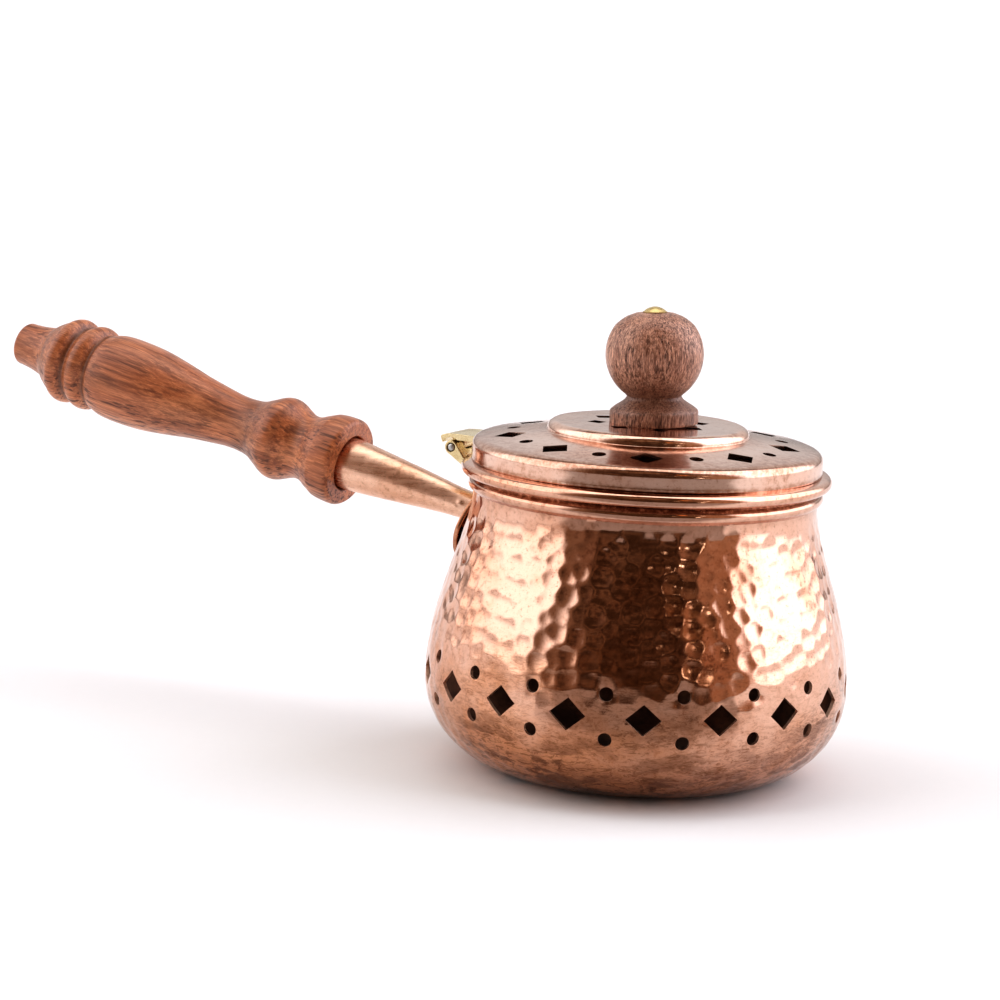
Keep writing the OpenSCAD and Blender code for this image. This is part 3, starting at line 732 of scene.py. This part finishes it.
def copper(name, bright, dark, stain, roughness, bump=0.25, rings=(), stained_and_shaded_low=False):
    """Polished copper with tarnish clouds, wipe marks, fine specks and a soft grain. rings are heights
    (place, width, strength) where the stain colour is painted in as shade along creases and joints, mottled
    by fine noise. The last argument adds heat colours and burnt patches low down; the heat colour's smooth
    fall towards the bottom is also painted shade, standing in for the dim floor that the lower bowl reflects."""
    s = Surface(name, Metallic=1.0)
    cloud = s.noise(48, 6, 0.62)
    fine = s.noise(620, 5, 0.68)
    specks = s.noise(1300, 4, 0.7)
    wipes = s.noise(70, 6, 0.7, s.mapped((1, 1, 12)), 0.6)
    scratch = s.noise(1500, 4, 0.75, s.mapped((0.35, 0.35, 1.3)), 1.6)
    colour = s.mix(s.spread(cloud, 0.4, 0.66), bright, dark)
    blotch = s.math("MULTIPLY", s.spread(fine, 0.48, 0.66), s.spread(cloud, 0.42, 0.66, 0.12, 0.75))
    colour = s.mix(blotch, colour, stain)
    freckles = s.math("MULTIPLY", s.spread(specks, 0.56, 0.66), s.spread(fine, 0.42, 0.6, 0.1, 0.6))
    colour = s.mix(freckles, colour, stain)
    colour = s.mix(s.spread(scratch, 0.58, 0.72, 0.0, 0.35), colour, stain)
    # Painted shade along creases and joints: the stain colour near each ring's height, mottled by fine noise
    for place, width, strength in rings:
        crease_shade = s.math("MULTIPLY", near(s, place, width, strength), s.spread(fine, 0.36, 0.56, 0.35, 1.0))
        colour = s.mix(crease_shade, colour, stain)
    rough = s.math("ADD", s.spread(wipes, 0.3, 0.8, roughness * 0.7, roughness * 1.4),
                   s.spread(cloud, 0.45, 0.8, 0.0, 0.1))
    if stained_and_shaded_low:
        drift = s.noise(38, 5, 0.62, s.mapped((1, 1, 1.8)))
        low = s.math("ADD", s.axis("Z"), s.math("MULTIPLY", s.math("SUBTRACT", drift, 0.5), 0.07))
        # Heat colour low down, weaker towards +X; its smooth fall towards the bottom is also painted shade
        # for the dim floor reflected in the lower bowl
        heat = s.math("MULTIPLY", s.spread(low, 0.006, 0.044, 1.0, 0.0),
                      s.spread(s.axis("X"), 0.012, 0.05, 1.0, 0.35))
        patches = s.spread(s.noise(70, 8, 0.7, s.mapped((1, 1, 2.6)), 0.6), 0.46, 0.56)
        burnt = s.math("MULTIPLY", s.spread(low, 0.0, 0.03, 1.0, 0.0), patches)
        fibres = s.noise(650, 7, 0.78, s.mapped((0.5, 0.5, 1.6)), 1.2)
        speckle = s.math("MULTIPLY", s.spread(fibres, 0.49, 0.58), s.spread(low, 0.004, 0.05, 0.95, 0.0))
        colour = s.mix(s.math("MULTIPLY", heat, 0.85), colour, (0.66, 0.30, 0.15))
        colour = s.mix(s.math("MULTIPLY", burnt, 0.92), colour, (0.13, 0.052, 0.03))
        colour = s.mix(s.math("MULTIPLY", speckle, 0.75), colour, (0.19, 0.075, 0.034))
        rough = s.math("ADD", rough, s.math("MULTIPLY", s.math("ADD", burnt, speckle), 0.1))
    height = s.math("ADD", s.math("MULTIPLY", fine, 0.35), s.math("MULTIPLY", wipes, 0.65))
    grain = s.bump(height, 0.22, 0.05)
    return s.finish(colour, rough, s.bump(s.noise(150, 3, 0.5), bump, 0.1, grain))


def sooty_copper(name):
    """The unpolished inside of the sheet, browned by heat."""
    s = Surface(name, Metallic=1.0)
    cloud, fine = s.noise(70, 6, 0.65), s.noise(500, 5, 0.7)
    colour = s.mix(s.spread(cloud, 0.35, 0.65), (0.30, 0.135, 0.075), (0.12, 0.055, 0.034))
    colour = s.mix(s.spread(fine, 0.5, 0.75, 0.0, 0.6), colour, (0.05, 0.024, 0.016))
    rough = s.spread(cloud, 0.3, 0.75, 0.34, 0.55)
    return s.finish(colour, rough, s.bump(fine, 0.3, 0.08, s.bump(cloud, 0.3, 0.3)))


def cast_brass(name, bright, dark, roughness):
    """Pale cast brass, slightly pitted, darker in its clouds."""
    s = Surface(name, Metallic=1.0)
    cloud, fine = s.noise(140, 5, 0.6), s.noise(900, 4, 0.6)
    colour = s.mix(s.spread(cloud, 0.35, 0.7), bright, dark)
    pits = s.ramp(s.cells(620), 0.08, 0.3)
    rough = s.spread(fine, 0.3, 0.75, roughness * 0.8, roughness * 1.35)
    height = s.math("ADD", s.math("MULTIPLY", pits, 0.5), fine)
    return s.finish(colour, rough, s.bump(height, 0.3, 0.06, s.bump(cloud, 0.4, 0.2)))


def plain_steel(name):
    """Turned steel with fine rings and small rusty freckles."""
    s = Surface(name, Metallic=1.0)
    fine = s.noise(700, 5, 0.6)
    rust = s.spread(s.noise(260, 6, 0.7), 0.6, 0.78)
    colour = s.mix(rust, (0.47, 0.46, 0.44), (0.2, 0.1, 0.055))
    rough = s.math("ADD", s.spread(fine, 0.3, 0.7, 0.25, 0.42), s.math("MULTIPLY", rust, 0.3))
    return s.finish(colour, rough, s.bump(fine, 0.3, 0.04))


def turned_wood(name, light, mid, dark, axis_turn, grain, stretch, figure, coat, shade):
    """Wood turned along one axis: grain stretched along it, dark pore dashes and fine lathe rings."""
    s = Surface(name, Coat_Weight=coat, Coat_Roughness=0.3, Specular_IOR_Level=0.3)
    long, medium = s.mapped((1, 1, 0.5 * stretch), axis_turn), s.mapped((1, 1, stretch), axis_turn)
    bands = s.noise(grain * 0.1, 6, 0.66, long, 0.6)
    fibres = s.noise(grain, 5, 0.8, medium, 0.2)
    threads = s.noise(grain * 0.36, 5, 0.72, long, 0.3)
    dashes = s.noise(grain * 0.8, 2, 0.5, s.mapped((1, 1, 1.5 * stretch), axis_turn))
    pores = s.math("MULTIPLY", s.spread(dashes, 0.53, 0.62),
                   s.spread(s.noise(grain * 0.05, 4, 0.6, medium), 0.34, 0.58))
    rings = s.node("TexWave", Scale=260.0, Distortion=1.2, Detail=2.0)
    rings.bands_direction = "Z"
    s.put(rings.inputs["Vector"], s.mapped((1, 1, 1), axis_turn))
    colour = s.mix(s.spread(bands, 0.36, 0.6), light, mid)
    colour = s.mix(s.spread(threads, 0.49, 0.62, 0.0, 0.7), colour, dark)
    colour = s.mix(s.spread(fibres, 0.48, 0.6, 0.0, figure), colour, dark)
    gloss = tuple(min(1.0, 1.7 * c) for c in light)
    colour = s.mix(s.spread(fibres, 0.47, 0.36, 0.0, 0.8 * figure), colour, gloss)
    colour = s.mix(s.math("MULTIPLY", pores, 0.8), colour, tuple(0.3 * c for c in dark))
    # shade paints shade into the colour: under the knob's ball, or in the grip's grooves along with its wear
    colour = shade(s, colour)
    rough = s.math("ADD", s.spread(fibres, 0.3, 0.8, 0.36, 0.5), s.math("MULTIPLY", pores, 0.2))
    height = s.math("SUBTRACT", s.math("MULTIPLY", fibres, 0.45 * figure), pores)
    lathe_marks = s.bump(rings.outputs["Fac"], 0.12, 0.03)
    return s.finish(colour, rough, s.bump(height, 0.6, 0.09, lathe_marks))


def knob_shade(s, colour):
    """Painted shade under the ball of the knob, which also darkens the top of its foot."""
    low = s.math("ADD", s.axis("Z"), s.math("MULTIPLY", s.noise(90, 4, 0.6), 0.004))
    off = s.math("ABSOLUTE", s.math("SUBTRACT", low, (BALL_Z - 0.7 * BALL_R) * MM))
    return s.mix(s.spread(off, 0.001, 0.009, 0.6, 0.0), colour, (0.13, 0.052, 0.026))


# Painted shade in the grip's grooves and waist: distance from its start, half width and strength
GROOVES = ((20.3, 1.4, 0.25), (30, 9, 0.4), (85.4, 1.5, 0.75), (93.4, 1.3, 0.75), (101.5, 2.2, 0.4))


def grip_shade_and_wear(s, colour):
    """Painted shade in the turned grooves and the waist, and hand wear: streaks of old polish in the swell.
    """
    line = s.node("SeparateXYZ")
    s.put(line.inputs[0], s.mapped((1, 1, 1), (0, math.radians(HANDLE_TILT - 90), 0), (0, 0, HANDLE_Z * MM)))
    run = s.math("MULTIPLY", line.outputs["Z"], 1 / MM)
    worn = s.noise(55, 4, 0.6)
    # Painted shade, darkest at the middle of each groove
    for place, width, strength in GROOVES:
        off = s.math("ABSOLUTE", s.math("SUBTRACT", run, GRIP_START + place))
        colour = s.mix(s.spread(off, 0.0, width, strength, 0.0), colour, (0.10, 0.035, 0.014))
    return s.mix(s.spread(worn, 0.5, 0.75, 0.0, 0.35), colour, (0.12, 0.042, 0.02))


# ---------------------------------------------------------------- studio
VIEW_FORWARD = Vector((-0.4568, 0.8742, -0.1650)).normalized()
VIEW_RIGHT = Vector((0.8863, 0.4631, 0.0)).normalized()
VIEW_AIM, VIEW_DISTANCE, VIEW_ROLL, VIEW_LENS = Vector((-0.0365, -0.0120, 0.0680)), 0.7504, 2.6, 101.95


def build_camera():
    """Camera at the angle, distance and roll that give the object's outline."""
    camera = bpy.data.objects.new("view", bpy.data.cameras.new("view"))
    bpy.context.scene.collection.objects.link(camera)
    up = VIEW_RIGHT.cross(VIEW_FORWARD)
    roll = math.radians(VIEW_ROLL)
    right = math.cos(roll) * VIEW_RIGHT + math.sin(roll) * up
    up = math.cos(roll) * up - math.sin(roll) * VIEW_RIGHT
    place = Matrix((right, up, -VIEW_FORWARD)).transposed().to_4x4()
    place.translation = VIEW_AIM - VIEW_FORWARD * VIEW_DISTANCE
    camera.matrix_world = place
    camera.data.lens, camera.data.sensor_width = VIEW_LENS, 36.0
    camera.data.clip_start, camera.data.clip_end = 0.01, 50
    bpy.context.scene.camera = camera


# Each panel: middle azimuth and half width, middle elevation and half height, soft edge (all in
# degrees), and colour. Azimuth is 0 at the viewer's back and grows to the right.
PANELS = (
    (180, 60, 24, 21, 14, (0.72, 0.72, 0.73)),
    (180, 125, 76, 16, 8, (1.9, 1.9, 1.9)),
    (54, 18, 24, 32, 12, (0.40, 0.235, 0.15)),
    (-50, 12, 26, 30, 9, (0.24, 0.15, 0.10)),
    (-93, 36, 32, 30, 10, (1.8, 1.78, 1.82)),
    (100, 36, 34, 33, 7, (2.4, 2.4, 2.6)),
    (-4, 16, 56, 9, 6, (0.26, 0.16, 0.10)),
    (33, 1.3, 12, 1.8, 0.7, (4.5, 3.9, 3.2)),
    (40, 1.0, 33, 2.4, 0.7, (3.2, 2.8, 2.3)),
    (17, 0.9, 26, 1.3, 0.6, (2.2, 1.8, 1.4)),
    (26, 3.0, 44, 3.0, 2.0, (1.6, 0.62, 0.2)),
)
ROOM, FURNITURE = (0.05, 0.026, 0.0135), (0.2, 0.115, 0.068)
SEEN = (0.93, 0.93, 0.93)


def build_world():
    """Dark studio with soft panels left, right, behind and overhead, all round the object."""
    world = bpy.data.worlds.new("studio")
    bpy.context.scene.world = world
    world.use_nodes = True
    tree = world.node_tree
    tree.nodes.clear()

    def feed(socket, value):
        if isinstance(value, bpy.types.NodeSocket):
            tree.links.new(value, socket)
        else:
            socket.default_value = (*value, 1) if isinstance(value, tuple) and len(value) == 3 else value

    def calc(operation, *values):
        n = tree.nodes.new("ShaderNodeMath")
        n.operation = operation
        for socket, value in zip(n.inputs, values):
            feed(socket, value)
        return n.outputs[0]

    def mixed(amount, a, b):
        n = tree.nodes.new("ShaderNodeMix")
        n.data_type = "RGBA"
        for socket, value in zip((n.inputs["Factor"], n.inputs[6], n.inputs[7]), (amount, a, b)):
            feed(socket, value)
        return n.outputs[2]

    def part_along(vector):
        n = tree.nodes.new("ShaderNodeVectorMath")
        n.operation = "DOT_PRODUCT"
        tree.links.new(direction, n.inputs[0])
        n.inputs[1].default_value = vector
        return n.outputs["Value"]

    def inside(away, reach, edge):
        n = tree.nodes.new("ShaderNodeMapRange")
        n.interpolation_type = "SMOOTHSTEP"
        low, high = math.radians(reach - edge), math.radians(reach + edge)
        for socket, value in zip(n.inputs, (away, low, high, 1.0, 0.0)):
            feed(socket, value)
        return n.outputs[0]

    direction = tree.nodes.new("ShaderNodeTexCoord").outputs["Generated"]
    front = Vector((-VIEW_FORWARD.x, -VIEW_FORWARD.y, 0)).normalized()
    azimuth = calc("ARCTAN2", part_along(VIEW_RIGHT), part_along(front))
    elevation = calc("ARCSINE", part_along(Vector((0, 0, 1))))
    clutter = tree.nodes.new("ShaderNodeTexNoise")
    for key, value in (("Vector", direction), ("Scale", 5.0), ("Detail", 4.0), ("Roughness", 0.6)):
        feed(clutter.inputs[key], value)
    reach = tree.nodes.new("ShaderNodeMapRange")
    for socket, value in zip(reach.inputs, (clutter.outputs["Fac"], 0.44, 0.64, 0.0, 1.0)):
        feed(socket, value)
    light = mixed(reach.outputs[0], ROOM, FURNITURE)
    for middle, half, height, half_height, edge, colour in PANELS:
        aside = calc("WRAP", calc("SUBTRACT", azimuth, math.radians(middle)), math.pi, -math.pi)
        turn = calc("ABSOLUTE", aside)
        rise = calc("ABSOLUTE", calc("SUBTRACT", elevation, math.radians(height)))
        amount = calc("MULTIPLY", inside(turn, half, edge), inside(rise, half_height, edge))
        light = mixed(amount, light, colour)
    background = tree.nodes.new("ShaderNodeBackground")
    seen = tree.nodes.new("ShaderNodeLightPath").outputs["Is Camera Ray"]
    tree.links.new(mixed(seen, light, SEEN), background.inputs["Color"])
    tree.links.new(background.outputs[0], tree.nodes.new("ShaderNodeOutputWorld").inputs[0])
    bpy.context.scene.view_settings.view_transform = "Standard"
    bpy.context.scene.view_settings.look = "Medium High Contrast"


def build_floor():
    """Pale floor, darker in mirrored rays in front of the object, as a dim room would make it."""
    s = Surface("pale_floor", Specular_IOR_Level=0.15)
    fine = s.noise(300, 4, 0.6)
    pale = s.mix(fine, (0.88, 0.88, 0.88), (0.91, 0.91, 0.91))
    ahead = s.math("SUBTRACT", s.math("MULTIPLY", s.axis("X"), -VIEW_FORWARD.x),
                   s.math("MULTIPLY", s.axis("Y"), VIEW_FORWARD.y))
    aside = s.math("ABSOLUTE", s.math("ADD", s.math("MULTIPLY", s.axis("X"), VIEW_RIGHT.x),
                                      s.math("MULTIPLY", s.axis("Y"), VIEW_RIGHT.y)))
    shade = s.spread(s.math("SUBTRACT", ahead, s.math("MULTIPLY", aside, 0.6)), 0.02, 0.10)
    mirrored = s.node("LightPath").outputs["Is Glossy Ray"]
    pale = s.mix(s.math("MULTIPLY", shade, mirrored), pale, (0.34, 0.31, 0.29))
    s.finish(pale, s.spread(fine, 0.3, 0.7, 0.55, 0.7))
    reach = 30 / MM
    floor = prism("pale_floor", [(-reach, -reach), (reach, -reach), (reach, reach), (-reach, reach)],
                  -5, -0.02, Matrix())
    floor.data.materials.append(s.material)


# ---------------------------------------------------------------- pieces
def dress(obj, material, body, node):
    """Gives a piece its material, slot and body, and hides the CAD node that it stands for."""
    obj.data.materials.clear()
    obj.data.materials.append(material)
    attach(obj, body)
    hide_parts(node)


def line_inside(obj, soot, cut):
    """Soot on the faces that look at the pot's axis or up from its floor, bare metal on the cut
    walls of the band's holes."""
    obj.data.materials.append(soot)
    obj.data.materials.append(cut)
    for face in obj.data.polygons:
        c, n = face.center / MM, face.normal
        r = math.hypot(c.x, c.y)
        out = (n.x * c.x + n.y * c.y) / max(r, 1e-6)
        if r > BASE_R and 15 < c.z < 36 and abs(out) < 0.6 and r > BELLY_R - 5:
            face.material_index = 2
        elif out < -0.35 or (r < BASE_R + 12 and n.z > 0.35 and c.z < BELLY_Z):
            face.material_index = 1


def line_lid(obj, soot):
    """Soot on the lid's underside and inner faces."""
    obj.data.materials.append(soot)
    for face in obj.data.polygons:
        c, n = face.center / MM, face.normal
        inwards = n.x * c.x + n.y * c.y < -0.3 * math.hypot(c.x, c.y)
        if n.z < -0.4 and c.z > MOUTH_Z + 0.5 or (c.z < LID_EDGE_Z and inwards):
            face.material_index = 1


def keep_node(name, material):
    """Keeps a hidden CAD node, with a better material."""
    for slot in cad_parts[name].material_slots:
        slot.material = material


def build_pieces():
    # Painted shade in the crease below the lip and under the bead; True adds heat colour and burnt patches
    # low down, partly painted shade for the floor reflected there
    raised = copper("hammered_copper", (0.76, 0.46, 0.34), (0.66, 0.34, 0.22), (0.27, 0.11, 0.06), 0.1,
                    0.25, ((75.9, 1.5, 0.9), (72.4, 2.0, 0.25)), True)
    # Painted shade at the lid's seat on the rim, at the top of its rolled edge and in the cove round the boss
    lid_crease_shade = ((MOUTH_Z + 0.4, 1.6, 0.8), (LID_EDGE_Z - 0.6, 2.2, 0.6), (RING_TOP + 0.2, 1.0, 0.5))
    sheet = copper("lid_copper", (0.80, 0.55, 0.44), (0.74, 0.44, 0.32), (0.36, 0.16, 0.09), 0.14,
                   0.35, lid_crease_shade)
    rolled = copper("ferrule_copper", (0.86, 0.54, 0.39), (0.72, 0.39, 0.25), (0.36, 0.17, 0.1), 0.3, 0.6)
    shield = copper("shield_copper", (0.62, 0.31, 0.19), (0.46, 0.2, 0.11), (0.17, 0.065, 0.032), 0.26,
                    0.5)
    cut = copper("cut_copper", (0.97, 0.68, 0.52), (0.9, 0.55, 0.4), (0.5, 0.25, 0.15), 0.5, 0.3)
    soot = sooty_copper("sooty_copper")
    brass = cast_brass("cast_brass", (0.86, 0.72, 0.44), (0.68, 0.52, 0.27), 0.25)
    dull = cast_brass("turned_brass", (0.70, 0.53, 0.24), (0.52, 0.36, 0.14), 0.32)
    steel = plain_steel("turned_steel")
    lengthwise = (0, math.radians(HANDLE_TILT - 90), 0)
    plum = turned_wood("grip_wood", (0.62, 0.235, 0.10), (0.44, 0.138, 0.052), (0.18, 0.045, 0.015),
                       lengthwise, 1500, 0.045, 0.42, 0.35, grip_shade_and_wear)
    oak = turned_wood("knob_wood", (0.62, 0.325, 0.22), (0.40, 0.18, 0.112), (0.125, 0.044, 0.022),
                      (0, 0, 0), 2500, 0.17, 0.8, 0.2, knob_shade)
    pot, lid = build_pot(), build_lid()
    dress(pot, raised, "pot", "pot_body")
    line_inside(pot, soot, cut)
    dress(lid, sheet, "lid", "lid_body")
    line_lid(lid, soot)
    dress(build_knob(), oak, "lid", "lid_knob")
    dress(build_bolt(), dull, "lid", "knob_bolt")
    dress(build_grip(), plum, "pot", "handle_grip")
    dress(build_ferrule(), rolled, "pot", "handle_ferrule")
    dress(build_plate(), shield, "pot", "handle_plate")
    dress(build_plate_rivets(), shield, "pot", "plate_rivets")
    dress(build_pot_leaf(), brass, "pot", "pot_hinge_leaf")
    dress(build_strap_rivets(), brass, "pot", "pot_leaf_rivets")
    dress(build_pin(), steel, "pot", "hinge_pin")
    dress(build_lid_leaf(), brass, "lid", "lid_hinge_leaf")
    dress(build_cap_rivets(), brass, "lid", "lid_leaf_rivets")
    for name in ("handle_tang", "knob_washer", "knob_nut"):
        keep_node(name, steel)


build_camera()
build_world()
build_floor()
build_pieces()
